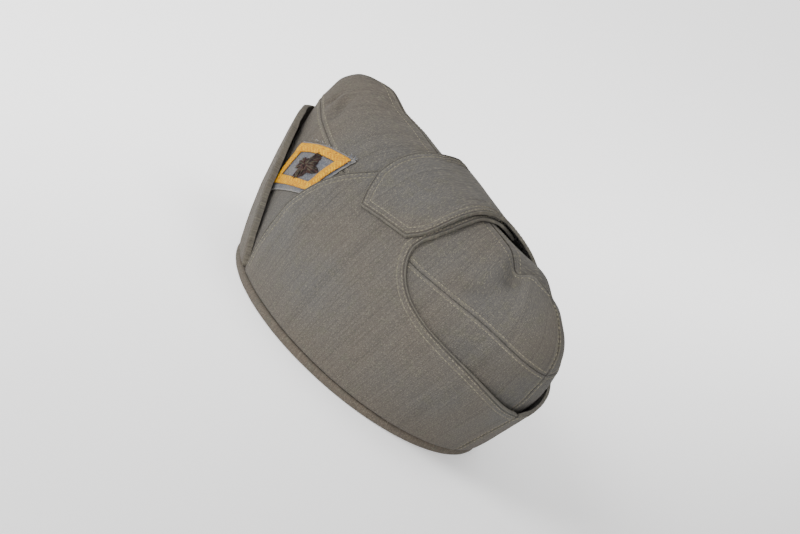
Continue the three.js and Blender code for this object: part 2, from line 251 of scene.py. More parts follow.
# Patch, braid and motif: places and widths are shares of the patch in the part's source,
# lengths and heights are in millimetres
PATCH_SIDES = (-0.08, 1.03)
PATCH_FOOT = 0.13
PATCH_TOP = (0.915, 0.99)
PATCH_LENGTH = 42
BRAID_CORNERS = table("u v", (-0.01, 0.305), (0.9, 0.27), (0.925, 0.87), (0.065, 0.8))
BRAID_HALF = 0.075
BRAID_BOW = 0.04
BRAID_LENGTH = 34
BRAID_OVERLAP = 0.55
BRAID_FULLNESS = 0.35
MOTIF_CENTRE = (0.53, 0.575)
MOTIF_RADIUS = 0.2
MOTIF_RISE = 1.35
MOTIF_THREADS = 64
FRAYED_AT_CORNER = 26
FRAYED_THREADS = 46

# Where the stitches beside the crest and beside the back seam run: up and around
CREST_ROW = 0.992
BACK_ROW = 1.35

# The photograph's camera, fitted to it: angles, distance in metres, focus and the middle of
# the view in pixels of the whole picture
AZIMUTH, ELEVATION, ROLL = (math.radians(v) for v in (36.25, 21.15, 36.56))
DISTANCE = 1.2
FOCUS = 1848.0
PICTURE = (800, 534)
MIDDLE = (356.3, 342.0)
SENSOR = 36

# Painted light and shade on the floor: from behind the cap towards its front its colour gets paler,
# and its glow, an emission though the floor is no lamp, gets brighter. Where that begins and ends,
# and the first and last values of its painted shade and of its painted glow
FLOOR_SIZE = 60
FLOOR_FADE = (330.0, -280.0)
FLOOR_PAINTED_SHADE = (0.68, 0.88)
FLOOR_PAINTED_GLOW = (0.1, 1.0)
SKY_COLOUR = (1.0, 0.99, 0.985, 1)
SKY_STRENGTH = 0.92

# Finer folds of the cloth: a ridge or valley along a line on one side. Long and wide are
# half lengths in millimetres, turn is the line's angle from level in degrees, and layer
# says which cloth takes it.
FOLDS = table(
    "layer side around up turn long wide depth",
    ("crown", 1, 137.5, 0.85, 38, 9, 2.8, 4.2),
    ("crown", 1, 146.0, 0.825, 70, 5, 2.4, 3.0),
    ("crown", 1, 142.5, 0.835, 50, 11, 3.0, -1.1),
    ("crown", 1, 50.8, 0.817, 147, 13, 2.3, 3.8),
    ("crown", 1, 54.5, 0.845, 147, 13, 3.4, -1.0),
    ("crown", 1, 41.0, 0.957, 159, 9, 2.6, 3.2),
    ("crown", 1, 50.0, 0.81, 141, 16, 5.0, 0.5),
    ("crown", -1, 45.0, 0.925, 8, 20, 5.2, -8.0),
    ("flap", -1, 45.0, 0.925, 8, 20, 5.2, -7.0),
    ("crown", 1, 24, 0.8, -20, 16, 4.0, -0.7),
    ("crown", 1, 30, 0.58, 12, 20, 4.5, 0.7),
    ("crown", 1, 160, 0.55, 60, 14, 4.0, 0.6),
    ("flap", 1, 117.5, 0.31, 118, 13, 2.2, -0.7),
    ("flap", 1, 113.5, 0.29, 118, 15, 2.6, 0.7),
    ("flap", 1, 104, 0.5, 120, 16, 3.0, -0.5),
    ("flap", 1, 78.2, 0.73, 98, 5, 1.8, 0.5),
    ("flap", 1, 77, 0.23, 92, 9, 2.6, -0.5),
    ("flap", 1, 82, 0.27, 80, 14, 3.4, 0.5),
    ("flap", 1, 62, 0.3, 110, 14, 4.0, 0.5),
    ("flap", 1, 35, 0.2, 96, 10, 3.0, -0.6),
    ("flap", 1, 30, 0.24, 75, 12, 3.4, 0.6),
    ("flap", 1, 45, 0.35, 130, 16, 3.5, -0.4),
    ("flap", -1, 70, 0.4, 60, 20, 4.0, 0.7),
    ("flap", -1, 95, 0.5, 120, 20, 4.0, 0.6),
    ("flap", -1, 30, 0.3, 100, 16, 4.0, -0.6),
)


def mix(a, b, share):
    return a + (b - a) * share


def ease(low, high, value):
    share = np.clip((value - low) / (high - low), 0, 1)
    return share * share * (3 - 2 * share)


def ridge(distance, middle, width, height):
    """A soft ridge along a line, or a groove where its height is negative"""
    return height * np.exp(-(((distance - middle) / width) ** 2))


def curve(rows, key, column, part=slice(None)):
    """A smooth curve through one column that never swings past its rows"""
    at = np.asarray(rows[key], float)[part]
    value = np.asarray(rows[column], float)[part]
    rise = np.diff(value) / np.diff(at)
    before, after = rise[:-1], rise[1:]
    same = before * after > 0
    middle = np.where(same, 2 * before * after / np.where(same, before + after, 1), 0)
    slope = np.concatenate([rise[:1], middle, rise[-1:]])

    def read(x):
        place = np.clip(x, at[0], at[-1])
        i = np.clip(np.searchsorted(at, place) - 1, 0, len(at) - 2)
        width = at[i + 1] - at[i]
        t = (place - at[i]) / width
        return (
            (1 + 2 * t) * (1 - t) ** 2 * value[i]
            + t * (1 - t) ** 2 * width * slope[i]
            + t * t * (3 - 2 * t) * value[i + 1]
            + t * t * (t - 1) * width * slope[i + 1]
        )

    return read


back_line = curve(PROFILE, "up", "back")
front_line = curve(PROFILE, "up", "front")
crest_height = curve(CREST, "along", "height")
crest_drift = curve(CREST, "along", "drift")
seam_height = curve(SIDE_SEAM, "around", "up")


def fold(side, around, up):
    side, around, up = np.broadcast_arrays(np.asarray(side, float), around, up)
    side, up = np.where(up > 1, -side, side), np.where(up > 1, 2 - up, up)
    side, around = np.where(around < 0, -side, side), np.abs(around)
    past = around > 180
    return np.where(past, -side, side), np.where(past, 360 - around, around), up


def crown_point(side, around, up):
    side, around, up = fold(side, around, up)
    angle = np.radians(around)
    along = (1 - np.cos(angle)) / 2
    high = np.maximum(up, 0)
    opening = 1 - high**ROOF_POWER
    width = np.sqrt((opening ** (2 * ROOF_ROUND) + CREST_ROUND * opening) / (1 + CREST_ROUND))
    x = side * RIM_HALF_WIDTH * np.sin(angle) * width + crest_drift(along) * high**3
    y = mix(back_line(up), front_line(up), along) + RIM_SHIFT
    return np.stack([x, y, crest_height(along) * up], axis=-1)


def from_turn(turn):
    return 1 - np.sign(1 - turn) * np.abs(1 - turn) ** ROW_CROWDING


def to_turn(up):
    return 1 - np.sign(1 - up) * np.abs(1 - up) ** (1 / ROW_CROWDING)


def mix_up(low, high, share):
    return from_turn(mix(to_turn(low), to_turn(high), share))


def crown_normal(side, around, up):
    side, around, up = fold(side, around, up)
    ahead = crown_point(side, around + SLOPE_TURN, up)
    above = crown_point(side, around, up + SLOPE_UP)
    along = ahead - crown_point(side, around - SLOPE_TURN, up)
    upward = above - crown_point(side, around, np.maximum(up - SLOPE_UP, 0))
    normal = np.cross(upward, along) * side[..., None]
    normal[..., 2] *= ease(0.03, 0.16, up)
    return normal / np.maximum(np.linalg.norm(normal, axis=-1, keepdims=True), 1e-9)


def waves(points, size, seed, height):
    """Smooth unevenness, up to about its height either way, that depends on the place alone"""
    flat = points.reshape(-1, 3) / size + seed
    return height * np.array([noise.noise(Vector(p)) for p in flat]).reshape(points.shape[:-1])


def table_rows(rows):
    """The rows of a table one by one, each by its columns' names"""
    for values in zip(*rows.values()):
        yield dict(zip(rows, values))


def fold_depth(layer, side, around, up):
    """How deep the folds of one cloth go"""
    side, around, up = fold(side, around, up)
    depth = np.zeros(around.shape)
    for row in table_rows(FOLDS):
        if row["layer"] != layer:
            continue
        a = (around - row["around"]) * FOLD_DEGREE
        b = (up - row["up"]) * CLOTH_UP
        turn = math.radians(row["turn"])
        level = a * math.cos(turn) + b * math.sin(turn)
        across = b * math.cos(turn) - a * math.sin(turn)
        shape = np.exp(-((level / row["long"]) ** 2) - (across / row["wide"]) ** 2)
        depth += np.where(side == row["side"], row["depth"], 0) * shape
    return depth


def dent_depth(side, around, up):
    """How deep the dents go that the part's source has too, and that every cloth takes"""
    side, around, up = fold(side, around, up)
    depth = np.zeros(around.shape)
    for row in table_rows(DENTS):
        a = (around - row["around"]) / row["spanAround"]
        b = (up - row["up"]) / row["spanUp"]
        taken = (row["side"] == 0) | (side == row["side"])
        depth += np.where(taken, row["depth"], 0) * np.exp(-(a**2) - b**2)
    return depth


def on_crown(side, around, up, distance, layer="crown"):
    """Points and outward normals at a distance outside the crown's middle surface"""
    point = crown_point(side, around, up)
    normal = crown_normal(side, around, up)
    depth = fold_depth(layer, side, around, up) + dent_depth(side, around, up)
    calm = ease(0.03, 0.2, fold(side, around, up)[2])
    uneven = waves(point, *BROAD_WAVES) + waves(point, *SMALL_WAVES)
    return point + normal * (distance - depth + uneven * calm)[..., None], normal


def base_up(around):
    along = (1 - np.cos(np.radians(around))) / 2
    return (RIM_HEIGHT + 0.5 * SEAM_GAP) / crest_height(along)


def flap_lines(rows):
    """The lines of a flap, from the rim to its free edge: around and up from u and v"""
    columns = ("bottom", "middle", "top", "up")
    corners = np.flatnonzero(rows["corner"] == 1)
    rows = {**rows, "step": np.arange(len(rows["up"]))}
    spans = list(zip(corners[:-1], corners[1:]))
    parts = [{key: curve(rows, "step", key, slice(a, b + 1)) for key in columns} for a, b in spans]

    def read(u, v):
        step = u * (len(rows["up"]) - 1)
        value = {}
        for key in columns:
            value[key] = np.zeros(step.shape)
            for (a, b), part in zip(spans, parts):
                within = (step >= a - 1e-9) & (step <= b + 1e-9)
                value[key] = np.where(within, part[key](step), value[key])
        bottom, middle, top = value["bottom"], value["middle"], value["top"]
        bend = 2 * (bottom + top) - 4 * middle
        low = base_up(bottom)
        up = mix(low, value["up"], v)
        share = (up - low) / (value["up"] - low)
        return bottom + (top - bottom - bend) * share + bend * share * share, up

    return read


left_lines = flap_lines(LEFT_FLAP)
right_lines = flap_lines(RIGHT_FLAP)
visor_lines = flap_lines(VISOR)


# How far each flap and the turned-up front stand off the crown's middle surface
def left_stand(around, up, v):
    back = BACK_STAND * (1 - ease(15, 62, around)) * v * v
    beside_patch = ease(101, 106.5, around) * ease(0.34, 0.46, up) * (1 - ease(0.8, 0.9, up))
    return FIRST_LAYER + back + PATCH_STAND * beside_patch + CREST_LIFT * ease(0.8, 0.95, up)


def right_stand(around, up, v):
    back = BACK_STAND * (1 - ease(0, 36, around)) * v * v
    over = mix(FIRST_LAYER + back, SECOND_LAYER, ease(0.66, 0.87, up) * ease(50, 65, around))
    return over + 2 * CREST_LIFT * ease(0.8, 0.95, up) * (1 - ease(1.08, 1.2, up))


def visor_stand(edge, v):
    return FIRST_LAYER + mix(*VISOR_STAND, edge) * (1 - (1 - v) ** 2)


# Shader maths: a wired socket takes part in ordinary expressions
class Wire:
    def __init__(self, shop, socket):
        self.shop, self.socket = shop, socket

    def reckon(self, operation, *others):
        return self.shop.reckon(operation, self, *others)

    def __add__(self, other):
        return self.reckon("ADD", other)

    def __sub__(self, other):
        return self.reckon("SUBTRACT", other)

    def __rsub__(self, other):
        return self.shop.reckon("SUBTRACT", other, self)

    def __mul__(self, other):
        return self.reckon("MULTIPLY", other)

    __radd__ = __add__
    __rmul__ = __mul__


class Finish:
    """One material: nodes are added by type, settings and socket values"""

    def __init__(self, name):
        self.material = bpy.data.materials.new(name)
        self.material.use_nodes = True
        self.tree = self.material.node_tree
        self.tree.nodes.clear()

    def node(self, kind, settings, inputs):
        """Adds a node and gives its outputs by their names"""
        made = self.tree.nodes.new(kind)
        for key, value in settings.items():
            setattr(made, key, value)
        for key, value in inputs.items():
            if isinstance(value, Wire):
                self.tree.links.new(value.socket, made.inputs[key])
            else:
                made.inputs[key].default_value = value
        return {socket.name: Wire(self, socket) for socket in made.outputs if socket.enabled}

    def reckon(self, operation, *terms):
        inputs = dict(enumerate(terms))
        return self.node("ShaderNodeMath", {"operation": operation}, inputs)["Value"]

    def parts(self, vector):
        return self.node("ShaderNodeSeparateXYZ", {}, {0: vector})

    def shifted(self, vector, shift):
        inputs = {0: vector, 1: shift}
        return self.node("ShaderNodeVectorMath", {"operation": "ADD"}, inputs)["Vector"]

    def place(self, size):
        """Object coordinates divided by a size in millimetres"""
        where = self.node("ShaderNodeTexCoord", {}, {})["Object"]
        inputs = {0: where, "Scale": 1 / (size * MM)}
        return self.node("ShaderNodeVectorMath", {"operation": "SCALE"}, inputs)["Vector"]

    def chart(self):
        """Place on the flat cloth, in millimetres"""
        return self.node("ShaderNodeUVMap", {"uv_map": "cloth"}, {})["UV"]

    def attribute(self, name):
        return self.node("ShaderNodeAttribute", {"attribute_name": name}, {})["Fac"]

    def grain(self, vector, detail, scale=1.0):
        inputs = {"Vector": vector, "Scale": scale, "Detail": detail}
        return self.node("ShaderNodeTexNoise", {}, inputs)["Fac"]

    def streaks(self, across, detail=2.0):
        """Noise that changes along one line only"""
        inputs = {"W": across, "Scale": 1.0, "Detail": detail}
        return self.node("ShaderNodeTexNoise", {"noise_dimensions": "1D"}, inputs)["Fac"]

    def cloud(self, size, detail=1.0, shift=0.0):
        """Noise in space, of a size in millimetres"""
        return self.grain(self.shifted(self.place(size), (shift, shift, shift)), detail)

    def between(self, value, low, high):
        """0 at the low value, 1 at the high one and smooth in between"""
        settings = {"interpolation_type": "SMOOTHSTEP"}
        inputs = {"Value": value, "From Min": low, "From Max": high, "To Min": 0.0, "To Max": 1.0}
        return self.node("ShaderNodeMapRange", settings, inputs)["Result"]

    def near(self, value, middle, width):
        """1 where the value is at the middle, fading out over the width"""
        away = (value - middle) * (1 / width)
        return (away * away * -1).reckon("EXPONENT")

    def blend(self, share, first, second):
        """A Mix node on colours, whose two ends are its sockets 6 and 7"""
        ends = [end if isinstance(end, Wire) else (*end, 1.0) for end in (first, second)]
        inputs = {0: share, 6: ends[0], 7: ends[1]}
        return self.node("ShaderNodeMix", {"data_type": "RGBA"}, inputs)["Result"]

    def tint(self, colour, *layers):
        """Lays colours over each other, each with its own share"""
        for share, over in layers:
            colour = self.blend(share, colour, over)
        return colour

    def surface(self, colour, height, depth, fixed):
        """A surface whose relief is up to a given depth in millimetres"""
        relief = {"Height": height, "Distance": depth * MM, "Strength": 1.0}
        bump = self.node("ShaderNodeBump", {}, relief)["Normal"]
        inputs = {"Base Color": colour, "Normal": bump, **fixed}
        shader = self.node("ShaderNodeBsdfPrincipled", {}, inputs)["BSDF"]
        self.node("ShaderNodeOutputMaterial", {}, {"Surface": shader})
        return self.material


MID_CLOTH = (0.067, 0.061, 0.053)
BLUE_CLOTH = (0.063, 0.061, 0.058)
BROWN_CLOTH = (0.074, 0.059, 0.044)
GREEN_CLOTH = (0.067, 0.064, 0.049)
# Dark streaks of the cloth, and the painted shade laid into its grooves
DARK_STREAK_AND_GROOVE_SHADE = (0.02, 0.018, 0.015)
PALE_FLECK = (0.17, 0.155, 0.117)
BLUE_FLECK = (0.03, 0.031, 0.036)
EDGE_CLOTH = (0.1, 0.093, 0.072)
PATCH_COOL = (0.07, 0.073, 0.083)
PATCH_WARM = (0.095, 0.092, 0.09)
PATCH_PALE = (0.14, 0.14, 0.145)
PATCH_DARK = (0.045, 0.048, 0.06)
PATCH_EDGE = (0.24, 0.225, 0.2)
GOLD_DEEP = (0.4, 0.18, 0.0)
GOLD_LIGHT = (0.48, 0.255, 0.0)
GOLD_GROOVE_SHADE = (0.25, 0.075, 0.0)
GOLD_WORN = (0.19, 0.055, 0.012)
GOLD_EDGE_SHADE = (0.25, 0.1, 0.015)

# Lengths in millimetres over which the patterns repeat, the direction across the twill's
# ribs, and the braid's half width
RIB_PITCH = 1.15
YARN_PITCH = 0.9
RIB_LEAN = (0.82, 0.57)
PLAIT_PITCH = 2.1
CORD_PITCH = 1.0
BRAID_MIDDLE = 3.0


def twill(name, brown):
    """Speckled wool twill with a diagonal rib, mottled and rubbed along its edges, with painted
    shade darkening the grooves along its seams and beside its free edges
    """
    shop = Finish(name)
    cloth = shop.parts(shop.chart())
    across, along = cloth["X"], cloth["Y"]
    rib = across * RIB_LEAN[0] + along * RIB_LEAN[1]
    yarn = across * RIB_LEAN[1] - along * RIB_LEAN[0]
    rib = (rib * (2 * math.pi / RIB_PITCH)).reckon("SINE")
    yarn = (yarn * (2 * math.pi / YARN_PITCH)).reckon("SINE")
    weave = shop.node("ShaderNodeCombineXYZ", {}, {0: across * 1.7, 1: along * 0.95})["Vector"]
    fine = shop.grain(weave, 2.0)
    fleck = shop.grain(shop.shifted(weave, (37.0, 11.0, 5.0)), 2.0, 1.15)
    medium = shop.cloud(7, 2.0, 11.0)
    large = shop.cloud(46, 1.5)
    streak, broad = shop.streaks(across * 0.9), shop.streaks(across * 0.16 + 90)
    edge, seam = shop.attribute("edge"), shop.attribute("seam")
    groove = shop.near(edge, EDGE_LINE, 0.4) + shop.near(seam, 0.0, 0.4)
    sewn = shop.near(edge, EDGE_ROWS[1], 0.5) + shop.near(seam, SEAM_ROW, 0.5)
    pulled = shop.near(edge, EDGE_ROWS[1], 0.7) + shop.near(seam, SEAM_ROW, 0.7)
    where = shop.parts(shop.place(1))
    front = shop.between(where["Y"], -40.0, -125.0)
    low = shop.between(where["Z"], 42.0, 4.0)
    cool = shop.between(large, 0.36, 0.7) * (1 - front * 0.8) * (1 - low * 0.7) * 0.8
    warm = front * 0.6 + low * 0.45 + shop.between(large, 0.54, 0.24) * 0.35 + brown
    streaky = shop.between(streak, 0.42, 0.66) * 0.24 + shop.between(broad, 0.45, 0.7) * 0.14
    colour = shop.tint(
        MID_CLOTH,
        (cool, BLUE_CLOTH),
        (warm.reckon("MINIMUM", 1.0) * 0.85, BROWN_CLOTH),
        (shop.between(medium, 0.5, 0.72) * 0.5, GREEN_CLOTH),
        (streaky, DARK_STREAK_AND_GROOVE_SHADE),
        (shop.between(fine, 0.5, 0.32) * 0.36, BLUE_FLECK),
        (shop.between(fleck, 0.5, 0.7) * 0.36, PALE_FLECK),
        (shop.near(edge, 0.2, 0.8) * 0.3, EDGE_CLOTH),
        # Painted shade: the grooves along seams and beside free edges are darkened in the colour,
        # on top of their relief
        ((groove * 0.55).reckon("MINIMUM", 0.6), DARK_STREAK_AND_GROOVE_SHADE),
        (sewn * 0.18, PALE_FLECK),
    )
    height = rib * 0.05 + yarn * 0.03 + fine * 0.3 + fleck * 0.25 + medium * 0.5
    height = height - groove * 0.5 - pulled * 0.25
    matt = {
        "Roughness": 0.93,
        "Sheen Weight": 0.04,
        "Sheen Roughness": 0.6,
        "Specular IOR Level": 0.12,
    }
    return shop.surface(colour, height, 1.0, matt)


def thread(name, light, dark):
    shop = Finish(name)
    colour = shop.blend(shop.between(shop.cloud(3.0), 0.35, 0.65), dark, light)
    matt = {"Roughness": 0.8, "Specular IOR Level": 0.2}
    return shop.surface(colour, shop.cloud(0.4), 0.15, matt)


def patch_wool():
    """Felted grey-blue cloth, paler where its edge is worn"""
    shop = Finish("patch_wool")
    fine = shop.cloud(1.1)
    colour = shop.tint(
        PATCH_COOL,
        (shop.between(shop.cloud(9, 2.0), 0.35, 0.65), PATCH_WARM),
        (shop.between(fine, 0.5, 0.7) * 0.5, PATCH_PALE),
        (shop.between(fine, 0.5, 0.3) * 0.5, PATCH_DARK),
        (shop.near(shop.attribute("edge"), 0.0, 0.7) * 0.4, PATCH_EDGE),
    )
    matt = {"Roughness": 0.95, "Sheen Weight": 0.04, "Specular IOR Level": 0.12}
    return shop.surface(colour, fine + shop.cloud(4), 0.4, matt)


def gold_braid():
    """Flat woven braid: a plait of yellow thread, with painted shade in its grooves as a darker
    orange
    """
    shop = Finish("gold_braid")
    cloth = shop.parts(shop.chart())
    bent = (cloth["Y"] - BRAID_MIDDLE).reckon("ABSOLUTE")
    plait = ((cloth["X"] + bent * 0.9) * (2 * math.pi / PLAIT_PITCH)).reckon("SINE")
    cords = (cloth["Y"] * (2 * math.pi / CORD_PITCH)).reckon("SINE")
    uneven = shop.cloud(3.4, 2.0)
    colour = shop.tint(
        GOLD_DEEP,
        (shop.between(uneven, 0.35, 0.65), GOLD_LIGHT),
        # Painted shade: the plait's grooves are darkened in the colour, where its relief sinks
        (shop.between(plait, -0.2, -0.9) * 0.5, GOLD_GROOVE_SHADE),
        (shop.between(shop.cloud(1.7, 1.0, 5.0), 0.6, 0.74) * 0.7, GOLD_WORN),
        # Painted shade along the braid's long edges, where it meets the patch
        (shop.near(bent, 3.1, 0.5) * 0.45, GOLD_EDGE_SHADE),
    )
    height = plait * 0.3 + cords * 0.12 + uneven * 0.6
    return shop.surface(colour, height, 0.6, {"Roughness": 0.62, "Specular IOR Level": 0.2})


# Modelling
def start(primitive, name, **settings):
    """A new mesh primitive, selected alone"""
    bpy.ops.object.select_all(action="DESELECT")
    primitive(**settings)
    piece = bpy.context.active_object
    piece.name = piece.data.name = name
    return piece


def pick(thing):
    bpy.ops.object.select_all(action="DESELECT")
    thing.select_set(True)
    bpy.context.view_layer.objects.active = thing


def edit(*steps):
    bpy.ops.object.mode_set(mode="EDIT")
    bpy.ops.mesh.select_all(action="SELECT")
    for step in steps:
        step()
    bpy.ops.object.mode_set(mode="OBJECT")


def smooth(piece):
    pick(piece)
    bpy.ops.object.shade_smooth()


def apply_modifier(thing, kind, **settings):
    made = thing.modifiers.new(kind.title(), kind)
    for key, value in settings.items():
        setattr(made, key, value)
    pick(thing)
    bpy.ops.object.modifier_apply(modifier=made.name)


def vertex_places(mesh):
    flat = np.zeros(len(mesh.vertices) * 3)
    mesh.vertices.foreach_get("co", flat)
    return flat.reshape(-1, 3)


def store(mesh, name, values):
    made = mesh.attributes.new(name, "FLOAT", "POINT")
    made.data.foreach_set("value", np.asarray(values, np.float32).ravel())


def store_chart(mesh, cloth):
    """Keeps each vertex's place on the flat cloth as the mesh's UV map"""
    corner = np.zeros(len(mesh.loops), int)
    mesh.loops.foreach_get("vertex_index", corner)
    mesh.uv_layers.new(name="cloth").data.foreach_set("uv", cloth[corner].ravel())


def from_lines(points, starts, ends):
    """Distance of each point from the nearest of many short lines"""
    nearest = np.full(len(points), FAR)
    for a, b in zip(starts, ends):
        line = b - a
        share = np.clip(((points - a) @ line) / max(line @ line, 1e-9), 0, 1)
        nearest = np.minimum(nearest, np.linalg.norm(points - a - share[:, None] * line, axis=1))
    return nearest


def walk(line):
    """The distance walked from the first point of a line to each of its points"""
    return np.concatenate([[0], np.cumsum(np.linalg.norm(np.diff(line, axis=0), axis=1))])


def sheet(name, us, vs, locate, wall, free="", seams="", lift=None, thick=None):
    """A sheet of cloth on a grid: its outer face from locate(u, v), then its thickness.
    free and seams name the grid's borders: f first line, l last line, b bottom, t top."""
    grid = bpy.ops.mesh.primitive_grid_add
    lines = {"x_subdivisions": len(us) - 1, "y_subdivisions": len(vs) - 1}
    piece = start(grid, name, size=2, calc_uvs=False, **lines)
    mesh = piece.data
    flat = vertex_places(mesh)
    column = np.rint((flat[:, 0] + 1) / 2 * (len(us) - 1)).astype(int)
    row = np.rint((flat[:, 1] + 1) / 2 * (len(vs) - 1)).astype(int)
    grid_u, grid_v = np.meshgrid(us, vs, indexing="ij")
    place, normal, cloth = locate(grid_u, grid_v)
    borders = {"f": place[0], "l": place[-1], "b": place[:, 0], "t": place[:, -1]}

    def distance(names):
        if not names:
            return np.full(grid_u.shape, FAR)
        starts = np.concatenate([borders[k][:-1] for k in names])
        ends = np.concatenate([borders[k][1:] for k in names])
        return from_lines(place.reshape(-1, 3), starts, ends).reshape(grid_u.shape)

    edge, seam = distance(free), distance(seams)
    rise = sum(ridge(seam, *line) for line in SEAM_RELIEF)
    rise += sum(ridge(edge, *line) for line in EDGE_RELIEF)
    rise += waves(place, *PUCKER_WAVES) * (ridge(seam, *SEAM_PUCKER) + ridge(edge, *EDGE_PUCKER))
    if lift is not None:
        rise += lift(grid_v, place)
    place = place + normal * rise[..., None]
    mesh.vertices.foreach_set("co", (place[column, row] * MM).ravel())
    store(mesh, "edge", edge[column, row])
    store(mesh, "seam", seam[column, row])
    store_chart(mesh, cloth[column, row])
    mesh.update()
    facing = np.zeros(len(mesh.vertices) * 3)
    mesh.vertex_normals.foreach_get("vector", facing)
    if (facing.reshape(-1, 3) * normal[column, row]).sum() < 0:
        pick(piece)
        edit(bpy.ops.mesh.flip_normals)
    walling = {"thickness": wall * MM, "offset": -1}
    if thick is not None:
        walling["vertex_group"] = "thick"
        group = piece.vertex_groups.new(name="thick")
        for index, share in enumerate(thick(edge)[column, row]):
            group.add([index], float(share), "REPLACE")
    apply_modifier(piece, "SOLIDIFY", **walling)
    apply_modifier(piece, "SUBSURF", levels=1, render_levels=1)
    smooth(piece)
    return piece


def dress(piece, material, slot, *nodes):
    piece.data.materials.clear()
    piece.data.materials.append(material)
    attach(piece, "root")
    if nodes:
        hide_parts(*nodes)
    return piece


def stations(length, step, first=False, last=False):
    """Shares along a length, about a step apart and closer beside a free or sewn border"""
    inner = list(np.arange(0, length, step)[1:])
    low = BORDER_STATIONS if first else []
    high = [length - f for f in BORDER_STATIONS[::-1]] if last else []
    start_at = BORDER_REACH if first else 0
    stop_at = length - BORDER_REACH if last else length
    keep = [s for s in inner if start_at < s < stop_at]
    if not last and keep and length - keep[-1] < 0.4 * step:
        keep.pop()
    return np.array([0, *low, *keep, *high, length]) / length


def edge_stations(rows, lines, side, step):
    """Columns of a flap: near even steps along its free edge, one at every corner"""
    last = len(rows["up"]) - 1
    corners = [int(k) for k in np.flatnonzero(rows["corner"] == 1)]
    us = [0.0]
    for a, b in zip(corners[:-1], corners[1:]):
        fine_u = np.linspace(a / last, b / last, 40 * (b - a) + 1)
        around, up = lines(fine_u, np.full(fine_u.shape, 0.85))
        walked = walk(crown_point(side, around, up))
        shares = np.linspace(0, 1, 7)
        if walked[-1] > SHORT_EDGE:
            shares = stations(walked[-1], step, True, True)
        us += list(np.interp(shares[1:] * walked[-1], walked, fine_u))
    return np.array(us)


def cloth_chart(around, up):
    return np.stack([np.asarray(around) * CHART_DEGREE, np.asarray(up) * CLOTH_UP], axis=-1)


def crown_panel(name, side, low, high, length, seams):
    us = stations(PANEL_LENGTH, PANEL_STEP, True, True)
    vs = stations(length, PANEL_STEP, "b" in seams, True)

    def locate(u, v):
        around = mix(-PANEL_LAP, 180 + PANEL_LAP, u)
        up = mix_up(low(around), high(around), v)
        point, normal = on_crown(side, around, up, CROWN_FACE)
        return point, normal, cloth_chart(around, up)

    return sheet(name, us, vs, locate, CROWN_CLOTH, seams=seams)


def flap_face(side, lines, stand, u, v):
    """Points and normals of a flap's outer face, and where they are round the crown"""
    around, up = lines(u, v)
    point, normal = on_crown(side, around, up, stand(around, up, v) + FLAP_CLOTH, "flap")
    return point, normal, around, up


def flap(name, side, rows, lines, stand, length):
    us = edge_stations(rows, lines, side, FLAP_STEPS[0])
    vs = stations(length, FLAP_STEPS[1], False, True)

    def locate(u, v):
        point, normal, around, up = flap_face(side, lines, stand, u, v)
        return point, normal, cloth_chart(around * side, up)

    def crease(v, place):
        return ridge(np.clip(place[..., 2] - RIM_HEIGHT, 0, None), *FOOT_CREASE)

    return sheet(name, us, vs, locate, FLAP_CLOTH, free="ft", seams="l", lift=crease)


wool = twill("worn_twill", 0.0)
wool_crown = twill("crown_twill", 0.0)
wool_rim = twill("rim_twill", 0.45)
wool_front = twill("front_twill", 0.2)

SIDES = (("left", 1), ("right", -1))
FLAPS = {
    "left": (LEFT_FLAP, left_lines, left_stand, 86),
    "right": (RIGHT_FLAP, right_lines, right_stand, 118),
}


def below_seam(around):
    return seam_height(around) + SEAM_LAP


def above_seam(around):
    return seam_height(around) - SEAM_LAP


panels = {}
for hand, side in SIDES:
    lower = crown_panel(f"lower_panel_{hand}", side, base_up, below_seam, 90, "flt")
    panels[f"lower_{hand}"] = dress(lower, wool, "twill", f"crown_lower_{hand}")
    upper = crown_panel(f"upper_panel_{hand}", side, above_seam, np.ones_like, 50, "flbt")
    panels[f"upper_{hand}"] = dress(upper, wool_crown, "twill_worn", f"crown_upper_{hand}")
for hand, side in SIDES:
    piece = flap(f"flap_cloth_{hand}", side, *FLAPS[hand])
    panels[f"flap_{hand}"] = dress(piece, wool, "twill", f"flap_{hand}")


def visor_place(u, v):
    """One strip from the left side round the front to the right side"""
    half = np.where(u <= 0.5, 2 * u, 2 - 2 * u)
    side = np.where(u <= 0.5, 1.0, -1.0)
    around, up = visor_lines(half, v)
    inside = visor_stand(1 - ease(0, 0.5, half), v)
    point, normal = on_crown(side, around, up, inside + VISOR_CLOTH)
    return point, normal, cloth_chart(around * side, up)


def visor_roll(v, place):
    return VISOR_ROLL * ease(0.86, 0.97, v)


def visor_hem(edge):
    """The wall's share of its full thickness: a folded hem along the free edge"""
    return mix(VISOR_CLOTH / VISOR_HEM, 1.0, 1 - ease(*HEM_WIDTH, edge))


visor = sheet(
    "turned_up_front",
    stations(190, VISOR_STEPS[0], True, True),
    stations(78, VISOR_STEPS[1], False, True),
    visor_place,
    VISOR_HEM,
    free="flt",
    lift=visor_roll,
    thick=visor_hem,
)
dress(visor, wool_front, "twill", "visor")


